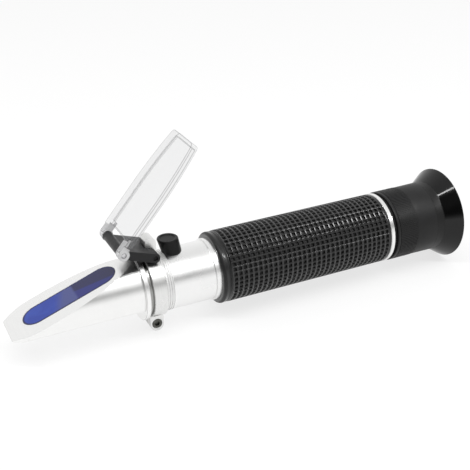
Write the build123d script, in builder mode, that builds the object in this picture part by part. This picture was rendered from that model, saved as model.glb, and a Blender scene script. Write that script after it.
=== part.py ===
from build123d import *
from math import atan, atan2, cos, degrees, hypot, pi, radians, sin, sqrt
import os

# A hand-held honey refractometer, one solid per piece, in millimetres.
# The optical axis is X, with +X towards the eye and +Z up. The origin is the
# centre of the eyecup's rear rim, so every station along the axis is negative.
# Rest pose: the daylight plate stands open and its arm leans on the clamp ear.

# Diameters and stations that drive the rest
tube_radius = 12.36
tube_wall = 1.36
bore_radius = tube_radius - tube_wall
grip_radius = tube_radius + 2.64
trim_radius = grip_radius + 0.1
focus_radius = grip_radius + 0.28
housing_tip = -196.7
flange_front = -144.7
flange_back = -142.7
clamp_front = -141.4
clamp_back = -135.5
grip_front = -112.4
grip_back = -34.2
trim_back = -32.3
focus_front = -30.9
focus_back = -10.7
rim_radius = 19.88

# Fits and clearances
running_gap = 0.05
slide_gap = 0.03
free_gap = 0.3

# Measuring face: a plane sloping up from the tip
face_slope = degrees(atan(0.353))
face_low_x = -195.2
face_low_z = -5.05
underside_z = -6.1

# Double hinge of the daylight plate: arm pin and lid pin, seen from the side
arm_pin_x = -138.0
arm_pin_z = tube_radius + 2.24
lid_pin_x = arm_pin_x - 13.5
lid_pin_z = arm_pin_z + 6.0
arm_half_width = 8.4
plate_offset = 2.4
plate_open_angle = 48.3

# The arm turns down until the plate lies over the face with a small gap
arm_length = hypot(arm_pin_x - lid_pin_x, lid_pin_z - arm_pin_z)
arm_rest_angle = degrees(atan2(lid_pin_z - arm_pin_z, lid_pin_x - arm_pin_x))
pin_below_face = (
    (arm_pin_x - face_low_x) * sin(radians(face_slope))
    - (arm_pin_z - face_low_z) * cos(radians(face_slope))
)
arm_lift = (pin_below_face + plate_offset + free_gap) / arm_length
arm_closed_angle = 180 + face_slope - degrees(atan2(arm_lift, sqrt(1 - arm_lift**2)))
arm_swing = arm_closed_angle - arm_rest_angle
plate_swing = 180 + face_slope - plate_open_angle - arm_swing
print("arm swing", round(arm_swing, 3), "plate swing on the arm", round(plate_swing, 3))

face_plane = Plane(
    origin=(face_low_x, 0, face_low_z),
    x_dir=(cos(radians(face_slope)), 0, sin(radians(face_slope))),
    z_dir=(-sin(radians(face_slope)), 0, cos(radians(face_slope))),
)
arm_pivot = Axis((arm_pin_x, 0, arm_pin_z), (0, -1, 0))

os.makedirs("parts", exist_ok=True)

# Main prism: a glass wedge whose stadium-shaped top is the measuring surface
window_start = 5.15
window_end = 45.26
window_half_width = 6.03
gasket_wall = 0.35
gasket_depth = 1.2
pocket_floor_z = underside_z + 1.5
window_length = window_end - window_start
window_middle = (window_start + window_end) / 2

with BuildPart() as main_prism:
    with BuildSketch(face_plane):
        with Locations((window_middle, 0)):
            SlotOverall(window_length - 2 * gasket_wall, 2 * (window_half_width - gasket_wall))
    extrude(amount=-20)
    split(bisect_by=Plane.XY.offset(pocket_floor_z), keep=Keep.TOP)
main_prism.part.label = "main_prism"
export_step(main_prism.part, "parts/main_prism.step")

# Thin seal around the prism, flush with the face
with BuildPart() as prism_gasket:
    with BuildSketch(face_plane):
        with Locations((window_middle, 0)):
            SlotOverall(window_length, 2 * window_half_width)
            SlotOverall(
                window_length - 2 * gasket_wall,
                2 * (window_half_width - gasket_wall),
                mode=Mode.SUBTRACT,
            )
    extrude(amount=-gasket_depth)
    split(bisect_by=Plane.XY.offset(pocket_floor_z), keep=Keep.TOP)
prism_gasket.part.label = "prism_gasket"
export_step(prism_gasket.part, "parts/prism_gasket.step")

# Prism housing: a round bar with a flat underside, sliced by the sloping face,
# drawn in to a narrower tip, with a flange and a spigot for the barrel
underside_edge = 1.5
tip_half_width = 7.7
tip_shoulder_x = housing_tip + 9.5
tip_shoulder_width = tube_radius - 0.16
flange_radius = tube_radius + 1.44
spigot_length = 7.8
light_bore_radius = 4.4

with BuildPart() as prism_housing:
    with BuildSketch(Plane.YZ.offset(housing_tip)) as section:
        Circle(tube_radius)
        with Locations((0, underside_z)):
            Rectangle(
                4 * tube_radius, tube_radius, align=(Align.CENTER, Align.MAX), mode=Mode.SUBTRACT
            )
        fillet(section.vertices().group_by(Axis.Y)[0], underside_edge)
    extrude(amount=flange_front - housing_tip)
    with BuildSketch(Plane.XY):
        with BuildLine():
            ThreePointArc(
                (tip_shoulder_x, tip_shoulder_width),
                (housing_tip + 3.5, tip_half_width + 2.5),
                (housing_tip, tip_half_width),
            )
            Line((housing_tip, tip_half_width), (housing_tip, 0))
            Line((housing_tip, 0), (flange_front, 0))
            Line((flange_front, 0), (flange_front, tube_radius))
            Line((flange_front, tube_radius), (tip_shoulder_x, tube_radius))
            Line((tip_shoulder_x, tube_radius), (tip_shoulder_x, tip_shoulder_width))
        make_face()
        mirror(about=Plane.XZ)
    extrude(amount=tube_radius, both=True, mode=Mode.INTERSECT)
    split(bisect_by=face_plane, keep=Keep.BOTTOM)
    with BuildSketch(Plane.YZ.offset(flange_front)):
        Circle(flange_radius)
    extrude(amount=flange_back - flange_front)
    chamfer(prism_housing.faces().filter_by(Axis.X).sort_by(Axis.X)[-1].edges(), 0.3)
    with BuildSketch(Plane.YZ.offset(flange_back)):
        Circle(bore_radius)
    extrude(amount=spigot_length)
    with BuildSketch(Plane.YZ.offset(flange_back + spigot_length)):
        Circle(light_bore_radius)
    extrude(amount=-spigot_length - 10, mode=Mode.SUBTRACT)
    add(main_prism.part, mode=Mode.SUBTRACT)
    add(prism_gasket.part, mode=Mode.SUBTRACT)
prism_housing.part.label = "prism_housing"
export_step(prism_housing.part, "parts/prism_housing.step")

# Barrel tube: carries the housing, the clamp, the calibration bush and the grip
cap_x = -128.5
bush_spigot_radius = 2.0
shoulder_radius = tube_radius + 0.54
shoulder_length = 2.2
ring_groove_pitch = 0.9
ring_groove_depth = 0.2

with BuildPart() as barrel_tube:
    with BuildSketch(Plane.YZ.offset(flange_back)):
        Circle(tube_radius)
    extrude(amount=trim_back - flange_back)
    with BuildSketch(Plane.YZ.offset(grip_front - shoulder_length)):
        Circle(shoulder_radius)
    extrude(amount=shoulder_length)
    for groove in range(3):
        groove_x = clamp_back + ring_groove_pitch * (groove + 0.7)
        with BuildSketch(Plane.YZ.offset(groove_x)):
            Circle(tube_radius)
            Circle(tube_radius - ring_groove_depth, mode=Mode.SUBTRACT)
        extrude(amount=ring_groove_pitch / 2, mode=Mode.SUBTRACT)
    with BuildSketch(Plane.YZ.offset(flange_back)):
        Circle(bore_radius)
    extrude(amount=trim_back - flange_back, mode=Mode.SUBTRACT)
    with BuildSketch(Plane.XY.offset(tube_radius)):
        with Locations((cap_x, 0)):
            Circle(bush_spigot_radius)
    extrude(amount=-tube_radius, mode=Mode.SUBTRACT)
barrel_tube.part.label = "barrel_tube"
export_step(barrel_tube.part, "parts/barrel_tube.step")

# Clamp ring: a split band with two screw ears below and the hinge ear on top
band_radius = tube_radius + 1.14
ear_half_width = 4.5
ear_thickness = 5.7
split_gap = 0.8
clamp_screw_z = -rim_radius + 3.28
screw_radius = 1.0
screw_head_radius = 1.95
screw_head_height = 1.7
nut_flats = 4.0
nut_height = 1.5
hinge_ear_half_width = 3.0
hinge_ear_half_length = 2.3
hinge_ear_top = arm_pin_z + 6.4
pin_radius = 0.9
ear_x = clamp_back - ear_thickness / 2
ear_round_z = -rim_radius + ear_thickness / 2

with BuildPart() as clamp_ring:
    with BuildSketch(Plane.YZ.offset(clamp_front)):
        Circle(band_radius)
    extrude(amount=clamp_back - clamp_front)
    chamfer(clamp_ring.edges().filter_by(GeomType.CIRCLE), 0.3)
    with BuildSketch(Plane.XZ):
        with Locations((ear_x, ear_round_z)):
            Circle(ear_thickness / 2)
            Rectangle(ear_thickness, -ear_round_z, align=(Align.CENTER, Align.MIN))
    extrude(amount=ear_half_width, both=True)
    with BuildSketch(Plane.XZ):
        with Locations((arm_pin_x, hinge_ear_top - hinge_ear_half_length)):
            Circle(hinge_ear_half_length)
            Rectangle(2 * hinge_ear_half_length, hinge_ear_top, align=(Align.CENTER, Align.MAX))
    extrude(amount=hinge_ear_half_width, both=True)
    with BuildSketch(Plane.YZ.offset(clamp_front)):
        Circle(tube_radius)
        Rectangle(split_gap, 4 * tube_radius, align=(Align.CENTER, Align.MAX))
    extrude(amount=clamp_back - clamp_front, mode=Mode.SUBTRACT)
    with BuildSketch(Plane.XZ):
        with Locations((ear_x, clamp_screw_z)):
            Circle(screw_radius + running_gap)
        with Locations((arm_pin_x, arm_pin_z)):
            Circle(pin_radius)
    extrude(amount=2 * ear_half_width, both=True, mode=Mode.SUBTRACT)
    with BuildSketch(Plane.XZ.offset(ear_half_width)):
        with Locations((ear_x, clamp_screw_z)):
            Circle(screw_head_radius + 0.1)
    extrude(amount=-screw_head_height, mode=Mode.SUBTRACT)
    with BuildSketch(Plane.XZ.offset(-ear_half_width)):
        with Locations((ear_x, clamp_screw_z)):
            RegularPolygon(nut_flats / 2, 6, major_radius=False)
    extrude(amount=nut_height, mode=Mode.SUBTRACT)
clamp_ring.part.label = "clamp_ring"
export_step(clamp_ring.part, "parts/clamp_ring.step")

# Socket-head screw that draws the two ears together
socket_radius = 1.0

with BuildPart() as clamp_screw:
    with BuildSketch(Plane.XZ.offset(ear_half_width)):
        with Locations((ear_x, clamp_screw_z)):
            Circle(screw_head_radius)
    extrude(amount=-screw_head_height)
    with BuildSketch(Plane.XZ.offset(ear_half_width)):
        with Locations((ear_x, clamp_screw_z)):
            Circle(screw_radius)
    extrude(amount=-2 * ear_half_width)
    with BuildSketch(Plane.XZ.offset(ear_half_width)):
        with Locations((ear_x, clamp_screw_z)):
            RegularPolygon(socket_radius, 6, major_radius=False)
    extrude(amount=-1.0, mode=Mode.SUBTRACT)
clamp_screw.part.label = "clamp_screw"
export_step(clamp_screw.part, "parts/clamp_screw.step")

# Hexagon nut let into the far ear
with BuildPart() as clamp_nut:
    with BuildSketch(Plane.XZ.offset(-ear_half_width)):
        with Locations((ear_x, clamp_screw_z)):
            RegularPolygon(nut_flats / 2, 6, major_radius=False)
            Circle(screw_radius, mode=Mode.SUBTRACT)
    extrude(amount=nut_height)
clamp_nut.part.label = "clamp_nut"
export_step(clamp_nut.part, "parts/clamp_nut.step")

# Space that the fixed pieces need under the swinging arm, with a free gap
with BuildPart() as keep_out:
    with BuildSketch(Plane.YZ.offset(flange_front - 20)):
        Circle(tube_radius + free_gap)
    extrude(amount=flange_back - flange_front + 26)
    split(bisect_by=face_plane.offset(free_gap), keep=Keep.BOTTOM)
    with BuildSketch(Plane.YZ.offset(flange_front - free_gap)):
        Circle(flange_radius + free_gap)
    extrude(amount=flange_back - flange_front + 2 * free_gap)
    with BuildSketch(Plane.YZ.offset(clamp_front - free_gap)):
        Circle(band_radius + 0.2)
    extrude(amount=clamp_back - clamp_front + 4)
    with BuildSketch(Plane.XZ):
        with Locations((arm_pin_x - hinge_ear_half_length - 0.2, 0)):
            Rectangle(20, 40, align=(Align.MIN, Align.MIN))
    extrude(amount=hinge_ear_half_width + free_gap, both=True)

# Hinge arm: a flat bar with a slot that straddles the hinge ear, two tongues
# on the arm pin, and a cross barrel in front for the lid pin
barrel_radius = 2.0
tongue_radius = 1.9
toe_x = arm_pin_x - 10.8
toe_z = arm_pin_z + 2.0
top_angle = -19.1
lid_pin_radius = 0.8
top_normal = (-sin(radians(top_angle)), cos(radians(top_angle)))
top_back = (arm_pin_x + tongue_radius * top_normal[0], arm_pin_z + tongue_radius * top_normal[1])
top_run = top_back[0] - (lid_pin_x + 0.6)
top_front = (top_back[0] - top_run, top_back[1] - top_run * sin(radians(top_angle)) / cos(radians(top_angle)))
toe_angle = atan2(lid_pin_z - toe_z, lid_pin_x - toe_x)
toe_reach = hypot(lid_pin_z - toe_z, lid_pin_x - toe_x)
toe_tangent = toe_angle + atan2(barrel_radius, sqrt(toe_reach**2 - barrel_radius**2))
toe_run = sqrt(toe_reach**2 - barrel_radius**2)
heel_angle = atan2(arm_pin_z - toe_z, arm_pin_x - toe_x)
heel_reach = hypot(arm_pin_z - toe_z, arm_pin_x - toe_x)
heel_tangent = heel_angle - atan2(tongue_radius, sqrt(heel_reach**2 - tongue_radius**2))
heel_run = sqrt(heel_reach**2 - tongue_radius**2)

with BuildPart() as hinge_arm:
    with BuildSketch(Plane.XZ):
        with Locations((arm_pin_x, arm_pin_z)):
            Circle(tongue_radius)
        with Locations((lid_pin_x, lid_pin_z)):
            Circle(barrel_radius)
        with BuildLine():
            Polyline(
                (arm_pin_x, arm_pin_z),
                top_back,
                top_front,
                (lid_pin_x, lid_pin_z),
                (toe_x + toe_run * cos(toe_tangent), toe_z + toe_run * sin(toe_tangent)),
                (toe_x, toe_z),
                (toe_x + heel_run * cos(heel_tangent), toe_z + heel_run * sin(heel_tangent)),
                close=True,
            )
        make_face()
    extrude(amount=arm_half_width, both=True)
    for share in (0, 0.5, 1):
        add(keep_out.part.rotate(arm_pivot, -share * arm_swing), mode=Mode.SUBTRACT)
    with BuildSketch(Plane.XZ):
        with Locations((arm_pin_x, arm_pin_z)):
            Circle(pin_radius + running_gap)
        with Locations((lid_pin_x, lid_pin_z)):
            Circle(lid_pin_radius)
    extrude(amount=arm_half_width, both=True, mode=Mode.SUBTRACT)
hinge_arm.part.label = "hinge_arm"
export_step(hinge_arm.part, "parts/hinge_arm.step")

# Arm pin, pressed into the hinge ear; the tongues turn on its ends
with BuildPart() as arm_pin:
    with BuildSketch(Plane.XZ):
        with Locations((arm_pin_x, arm_pin_z)):
            Circle(pin_radius)
    extrude(amount=arm_half_width - 0.6, both=True)
arm_pin.part.label = "arm_pin"
export_step(arm_pin.part, "parts/arm_pin.step")

# Daylight plate: a clear plate with a raised rim on its outer side and two lugs
plate_half_width = 12.4
plate_length = 49.2
plate_thickness = 1.67
rim_height = 1.5
rim_width = 1.5
plate_base = 3.3
plate_taper_start = 22.2
plate_end_half_width = 9.6
plate_corner = 1.8
notch_depth = 5.05
lug_radius = 2.3
lug_inner = arm_half_width + 0.1
lug_outer = 11.6
plate_dir = (cos(radians(plate_open_angle)), 0, sin(radians(plate_open_angle)))
plate_plane = Plane(
    origin=(lid_pin_x, 0, lid_pin_z),
    x_dir=plate_dir,
    z_dir=(-plate_dir[2], 0, plate_dir[0]),
)
taper_middle = (plate_taper_start + plate_length) / 2
taper_middle_width = plate_half_width - 0.25 * (plate_half_width - plate_end_half_width)

with BuildPart() as daylight_plate:
    with BuildSketch(plate_plane.offset(plate_offset)) as plate_outline:
        with BuildLine():
            Line((plate_base, 0), (plate_base, plate_half_width))
            Line((plate_base, plate_half_width), (plate_taper_start, plate_half_width))
            ThreePointArc(
                (plate_taper_start, plate_half_width),
                (taper_middle, taper_middle_width),
                (plate_length, plate_end_half_width),
            )
            Line((plate_length, plate_end_half_width), (plate_length, 0))
            Line((plate_length, 0), (plate_base, 0))
        make_face()
        mirror(about=Plane.XZ)
        fillet(plate_outline.vertices().group_by(Axis.X)[-1], plate_corner)
    extrude(amount=-plate_thickness - rim_height)
    with BuildSketch(plate_plane.offset(plate_offset - plate_thickness)) as plate_hollow:
        add(plate_outline.sketch_local)
        offset(amount=-rim_width)
        with Locations((plate_base, 0)):
            Rectangle(
                plate_taper_start, 2 * (plate_half_width - rim_width), align=(Align.MIN, Align.CENTER)
            )
    extrude(amount=-rim_height, mode=Mode.SUBTRACT)
    with BuildSketch(plate_plane.offset(plate_offset)):
        Rectangle(2 * notch_depth, 2 * lug_inner)
    extrude(amount=-plate_thickness - rim_height, mode=Mode.SUBTRACT)
    for side in (-1, 1):
        lug_plane = Plane(
            origin=(lid_pin_x, side * lug_inner, lid_pin_z),
            x_dir=plate_dir,
            z_dir=(0, side, 0),
        )
        with BuildSketch(lug_plane):
            Circle(lug_radius)
            with Locations((0, side * (plate_thickness + rim_height) / 2 - side * plate_offset)):
                Rectangle(
                    notch_depth + 1, plate_thickness + rim_height, align=(Align.MIN, Align.CENTER)
                )
        extrude(amount=lug_outer - lug_inner)
    with BuildSketch(Plane.XZ):
        with Locations((lid_pin_x, lid_pin_z)):
            Circle(lid_pin_radius + running_gap)
    extrude(amount=plate_half_width, both=True, mode=Mode.SUBTRACT)
daylight_plate.part.label = "daylight_plate"
export_step(daylight_plate.part, "parts/daylight_plate.step")

# Lid pin, pressed into the arm's cross barrel; the plate's lugs turn on it
with BuildPart() as lid_pin:
    with BuildSketch(Plane.XZ):
        with Locations((lid_pin_x, lid_pin_z)):
            Circle(lid_pin_radius)
    extrude(amount=lug_outer - 0.4, both=True)
lid_pin.part.label = "lid_pin"
export_step(lid_pin.part, "parts/lid_pin.step")

# Calibration bush, standing on the tube with its spigot through the wall
bush_radius = 2.6
bush_top = tube_radius + 2.94
cal_screw_radius = 1.5
cal_screw_foot = bore_radius - 1.4

with BuildPart() as calibration_bush:
    with BuildSketch(Plane.XY):
        with Locations((cap_x, 0)):
            Circle(bush_radius)
    extrude(amount=bush_top)
    with BuildSketch(Plane.YZ.offset(cap_x - 2 * bush_radius)):
        Circle(tube_radius)
    extrude(amount=4 * bush_radius, mode=Mode.SUBTRACT)
    with BuildSketch(Plane.XY):
        with Locations((cap_x, 0)):
            Circle(bush_spigot_radius)
    extrude(amount=bush_top)
    with BuildSketch(Plane.YZ.offset(cap_x - 2 * bush_radius)):
        Circle(bore_radius)
    extrude(amount=4 * bush_radius, mode=Mode.SUBTRACT)
    with BuildSketch(Plane.XY):
        with Locations((cap_x, 0)):
            Circle(cal_screw_radius + running_gap)
    extrude(amount=bush_top, mode=Mode.SUBTRACT)
calibration_bush.part.label = "calibration_bush"
export_step(calibration_bush.part, "parts/calibration_bush.step")

# Calibration screw: slotted, its foot stands in a dimple of the objective cell
with BuildPart() as calibration_screw:
    with BuildSketch(Plane.XY.offset(cal_screw_foot)):
        with Locations((cap_x, 0)):
            Circle(cal_screw_radius)
    extrude(amount=bush_top - 0.4 - cal_screw_foot)
    chamfer(calibration_screw.edges().sort_by(Axis.Z)[0], 0.4)
    with BuildSketch(Plane.XY.offset(bush_top - 0.4)):
        with Locations((cap_x, 0)):
            Rectangle(2 * cal_screw_radius, 0.5)
    extrude(amount=-0.7, mode=Mode.SUBTRACT)
calibration_screw.part.label = "calibration_screw"
export_step(calibration_screw.part, "parts/calibration_screw.step")

# Calibration cap: a soft plug whose head leans forward, saddled on the tube
cap_top = tube_radius + 5.84
cap_skirt = tube_radius - 1.36
cap_base_radius = 4.0
cap_head_radius = 4.34
cap_lean = 1.55
dish_depth = 0.4

with BuildPart() as calibration_cap:
    with BuildSketch(Plane.XY.offset(cap_skirt)):
        with Locations((cap_x + 0.25, 0)):
            Circle(cap_base_radius)
    with BuildSketch(Plane.XY.offset(cap_top)):
        with Locations((cap_x + 0.15 - cap_lean, 0)):
            Circle(cap_head_radius)
    loft()
    fillet(calibration_cap.faces().sort_by(Axis.Z)[-1].edges(), 0.5)
    with BuildSketch(Plane.XY.offset(cap_top)):
        with Locations((cap_x + 0.15 - cap_lean, 0)):
            Circle(cap_head_radius - 1.1)
    extrude(amount=-dish_depth, taper=30, mode=Mode.SUBTRACT)
    with BuildSketch(Plane.YZ.offset(cap_x - 2 * cap_head_radius)):
        Circle(tube_radius + running_gap)
    extrude(amount=4 * cap_head_radius, mode=Mode.SUBTRACT)
    with BuildSketch(Plane.XY):
        with Locations((cap_x, 0)):
            Circle(bush_radius + running_gap)
    extrude(amount=bush_top + 0.3, mode=Mode.SUBTRACT)
calibration_cap.part.label = "calibration_cap"
export_step(calibration_cap.part, "parts/calibration_cap.step")

# Objective cell with its doublet seat, dimpled under the calibration screw
cell_front = flange_back + spigot_length + 0.4
cell_back = cap_x + 7.0
lens_seat_x = cap_x - 1.5
objective_radius = bore_radius - 3.0
objective_edge = 3.0
ring_length = 2.0
seat_lip = 1.0

with BuildPart() as objective_cell:
    with BuildSketch(Plane.YZ.offset(cell_front)):
        Circle(bore_radius)
        Circle(objective_radius - seat_lip, mode=Mode.SUBTRACT)
    extrude(amount=cell_back - cell_front)
    with BuildSketch(Plane.YZ.offset(lens_seat_x)):
        Circle(objective_radius)
    extrude(amount=cell_back - lens_seat_x, mode=Mode.SUBTRACT)
    with BuildSketch(Plane.XY.offset(cal_screw_foot - running_gap)):
        with Locations((cap_x, 0)):
            Circle(cal_screw_radius + running_gap)
    extrude(amount=bore_radius, mode=Mode.SUBTRACT)
objective_cell.part.label = "objective_cell"
export_step(objective_cell.part, "parts/objective_cell.step")

# Objective lens, bulging on both sides of its cylindrical edge
objective_bulge = 1.0
objective_open = objective_radius - seat_lip
objective_curve = (objective_open**2 + objective_bulge**2) / (2 * objective_bulge)
objective_sag = objective_curve - sqrt(objective_curve**2 - (objective_open / 2) ** 2)

with BuildPart() as objective_lens:
    with BuildSketch(Plane.XZ):
        with BuildLine():
            ThreePointArc(
                (lens_seat_x, objective_open),
                (lens_seat_x - objective_bulge + objective_sag, objective_open / 2),
                (lens_seat_x - objective_bulge, 0),
            )
            Line(
                (lens_seat_x - objective_bulge, 0),
                (lens_seat_x + objective_edge + objective_bulge, 0),
            )
            ThreePointArc(
                (lens_seat_x + objective_edge + objective_bulge, 0),
                (lens_seat_x + objective_edge + objective_bulge - objective_sag, objective_open / 2),
                (lens_seat_x + objective_edge, objective_open),
            )
            Polyline(
                (lens_seat_x + objective_edge, objective_open),
                (lens_seat_x + objective_edge, objective_radius),
                (lens_seat_x, objective_radius),
                (lens_seat_x, objective_open),
            )
        make_face()
    revolve(axis=Axis.X)
objective_lens.part.label = "objective_lens"
export_step(objective_lens.part, "parts/objective_lens.step")

# Screwed ring that holds the objective lens in its cell
with BuildPart() as objective_ring:
    with BuildSketch(Plane.YZ.offset(lens_seat_x + objective_edge)):
        Circle(objective_radius)
        Circle(objective_radius - seat_lip, mode=Mode.SUBTRACT)
    extrude(amount=ring_length)
objective_ring.part.label = "objective_ring"
export_step(objective_ring.part, "parts/objective_ring.step")

# Baffle ring that stops stray light halfway down the barrel
baffle_x = -95.0
baffle_length = 1.5

with BuildPart() as baffle_ring:
    with BuildSketch(Plane.YZ.offset(baffle_x)):
        Circle(bore_radius)
        Circle(bore_radius / 2, mode=Mode.SUBTRACT)
    extrude(amount=baffle_length)
baffle_ring.part.label = "baffle_ring"
export_step(baffle_ring.part, "parts/baffle_ring.step")

# Reticle cell, the glass disc that carries the scale, and its ring
reticle_front = -66.0
reticle_seat = reticle_front + 2.0
reticle_length = 6.0
reticle_radius = bore_radius - 2.5
reticle_thickness = 1.5

with BuildPart() as reticle_cell:
    with BuildSketch(Plane.YZ.offset(reticle_front)):
        Circle(bore_radius)
        Circle(reticle_radius - seat_lip, mode=Mode.SUBTRACT)
    extrude(amount=reticle_length)
    with BuildSketch(Plane.YZ.offset(reticle_seat)):
        Circle(reticle_radius)
    extrude(amount=reticle_length, mode=Mode.SUBTRACT)
reticle_cell.part.label = "reticle_cell"
export_step(reticle_cell.part, "parts/reticle_cell.step")

with BuildPart() as reticle_glass:
    with BuildSketch(Plane.YZ.offset(reticle_seat)):
        Circle(reticle_radius)
    extrude(amount=reticle_thickness)
reticle_glass.part.label = "reticle_glass"
export_step(reticle_glass.part, "parts/reticle_glass.step")

with BuildPart() as reticle_ring:
    with BuildSketch(Plane.YZ.offset(reticle_seat + reticle_thickness)):
        Circle(reticle_radius)
        Circle(reticle_radius - seat_lip, mode=Mode.SUBTRACT)
    extrude(amount=ring_length)
reticle_ring.part.label = "reticle_ring"
export_step(reticle_ring.part, "parts/reticle_ring.step")

# Rubber grip around the barrel: a plain collar with a rounded front edge, then
# moulded pits between lengthwise ridges, crossed by a ridge at every third row
grip_edge = 1.2
pit_columns = 45
pit_rows = 33
rows_per_bay = 3
ridge_width = 0.8
pit_depth = 0.5
pit_draft = 0.12
waffle_front = grip_front + 4.0
waffle_back = grip_back - 1.0
bay_pitch = (waffle_back - waffle_front) / pit_rows * rows_per_bay
pit_floor = grip_radius - pit_depth
pit_half_width = (2 * pi * grip_radius / pit_columns - ridge_width) / 2

bay_planes = []
for bay in range(pit_rows // rows_per_bay):
    bay_planes.append(Plane.YZ.offset(waffle_front + bay * bay_pitch + ridge_width / 2))

with BuildPart() as rubber_grip:
    with BuildSketch(Plane.YZ.offset(grip_front)):
        Circle(grip_radius)
    extrude(amount=grip_back - grip_front)
    fillet(rubber_grip.edges().sort_by(Axis.X)[0], grip_edge)
    with BuildSketch(Plane.YZ.offset(grip_front)):
        Circle(tube_radius)
    extrude(amount=grip_back - grip_front, mode=Mode.SUBTRACT)
    with BuildSketch(*bay_planes):
        with PolarLocations(0, pit_columns, start_angle=90):
            Polygon(
                (pit_floor, -pit_half_width + pit_draft),
                (pit_floor + 2 * pit_depth, -pit_half_width - pit_draft),
                (pit_floor + 2 * pit_depth, pit_half_width + pit_draft),
                (pit_floor, pit_half_width - pit_draft),
                align=None,
            )
    extrude(amount=bay_pitch - ridge_width, mode=Mode.SUBTRACT)
rubber_grip.part.label = "rubber_grip"
export_step(rubber_grip.part, "parts/rubber_grip.step")

# Bright trim ring behind the grip
with BuildPart() as trim_ring:
    with BuildSketch(Plane.YZ.offset(grip_back)):
        Circle(trim_radius)
    extrude(amount=trim_back - grip_back)
    chamfer(trim_ring.edges().filter_by(GeomType.CIRCLE), 0.2)
    with BuildSketch(Plane.YZ.offset(grip_back)):
        Circle(tube_radius)
    extrude(amount=trim_back - grip_back, mode=Mode.SUBTRACT)
trim_ring.part.label = "trim_ring"
export_step(trim_ring.part, "parts/trim_ring.step")

# Eyepiece sleeve: fixed in the barrel; the focus ring turns on its outside
# and the keyed lens cell slides in its bore
sleeve_radius = trim_radius - 0.9
sleeve_back = -18.7
sleeve_spigot_front = -45.0
cell_radius = bore_radius - 1.0
key_half_width = 1.0
key_height = 0.8
o_ring_x = focus_front + 5.9
o_ring_section = 0.7

with BuildPart() as eyepiece_sleeve:
    with BuildSketch(Plane.YZ.offset(sleeve_spigot_front)):
        Circle(bore_radius)
    extrude(amount=trim_back - sleeve_spigot_front)
    with BuildSketch(Plane.YZ.offset(trim_back)):
        Circle(sleeve_radius)
    extrude(amount=sleeve_back - trim_back)
    with BuildSketch(Plane.YZ.offset(o_ring_x - o_ring_section)):
        Circle(sleeve_radius)
        Circle(sleeve_radius - 2 * o_ring_section, mode=Mode.SUBTRACT)
    extrude(amount=2 * o_ring_section, mode=Mode.SUBTRACT)
    with BuildSketch(Plane.YZ.offset(sleeve_spigot_front)):
        Circle(cell_radius + slide_gap)
    extrude(amount=sleeve_back - sleeve_spigot_front, mode=Mode.SUBTRACT)
    with BuildSketch(Plane.YZ.offset(trim_back)):
        Rectangle(
            2 * (key_half_width + slide_gap),
            cell_radius + key_height + running_gap,
            align=(Align.CENTER, Align.MIN),
        )
    extrude(amount=sleeve_back - trim_back, mode=Mode.SUBTRACT)
eyepiece_sleeve.part.label = "eyepiece_sleeve"
export_step(eyepiece_sleeve.part, "parts/eyepiece_sleeve.step")

# Greased ring in the sleeve's groove that gives the focus its drag
with BuildPart() as focus_o_ring:
    with BuildSketch(Plane.XZ):
        with Locations((o_ring_x, sleeve_radius - o_ring_section)):
            Circle(o_ring_section)
    revolve(axis=Axis.X)
focus_o_ring.part.label = "focus_o_ring"
export_step(focus_o_ring.part, "parts/focus_o_ring.step")

# Lens cell: a keyed tube with a shoulder that the focus ring pushes and pulls
cell_tube_front = -36.0
shoulder_front = -16.8
shoulder_back = shoulder_front + 1.5
lip_length = 2.0
shoulder_flange = cell_radius + 1.5
lens_radius = cell_radius - 1.4
retainer_length = 1.9
spigot_end = shoulder_back + lip_length + 0.2

with BuildPart() as lens_cell:
    with BuildSketch(Plane.YZ.offset(cell_tube_front)):
        Circle(cell_radius)
    extrude(amount=spigot_end - cell_tube_front)
    with BuildSketch(Plane.YZ.offset(shoulder_front)):
        Circle(shoulder_flange)
    extrude(amount=shoulder_back - shoulder_front)
    with BuildSketch(Plane.YZ.offset(trim_back + 3)):
        Rectangle(
            2 * key_half_width, cell_radius + key_height, align=(Align.CENTER, Align.MIN)
        )
    extrude(amount=shoulder_front - trim_back - 3)
    with BuildSketch(Plane.YZ.offset(cell_tube_front)):
        Circle(lens_radius - seat_lip)
    extrude(amount=spigot_end - cell_tube_front, mode=Mode.SUBTRACT)
    with BuildSketch(Plane.YZ.offset(cell_tube_front + seat_lip)):
        Circle(lens_radius)
    extrude(amount=spigot_end - cell_tube_front, mode=Mode.SUBTRACT)
lens_cell.part.label = "lens_cell"
export_step(lens_cell.part, "parts/lens_cell.step")

# Eyepiece lenses: flat face and bulge, kept apart by a spacer tube
field_seat = cell_tube_front + seat_lip
field_edge = 2.0
lens_bulge = 2.2
eye_edge = 2.0
eye_back = spigot_end - 0.8
eye_front = eye_back - eye_edge
lens_open = lens_radius - seat_lip
lens_curve = (lens_open**2 + lens_bulge**2) / (2 * lens_bulge)
lens_sag = lens_curve - sqrt(lens_curve**2 - (lens_open / 2) ** 2)

with BuildPart() as field_lens:
    with BuildSketch(Plane.XZ):
        with BuildLine():
            Polyline(
                (field_seat + field_edge, lens_open),
                (field_seat + field_edge, lens_radius),
                (field_seat, lens_radius),
                (field_seat, 0),
                (field_seat + field_edge + lens_bulge, 0),
            )
            ThreePointArc(
                (field_seat + field_edge + lens_bulge, 0),
                (field_seat + field_edge + lens_bulge - lens_sag, lens_open / 2),
                (field_seat + field_edge, lens_open),
            )
        make_face()
    revolve(axis=Axis.X)
field_lens.part.label = "field_lens"
export_step(field_lens.part, "parts/field_lens.step")

with BuildPart() as lens_spacer:
    with BuildSketch(Plane.YZ.offset(field_seat + field_edge)):
        Circle(lens_radius)
        Circle(lens_open, mode=Mode.SUBTRACT)
    extrude(amount=eye_front - field_seat - field_edge)
lens_spacer.part.label = "lens_spacer"
export_step(lens_spacer.part, "parts/lens_spacer.step")

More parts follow.
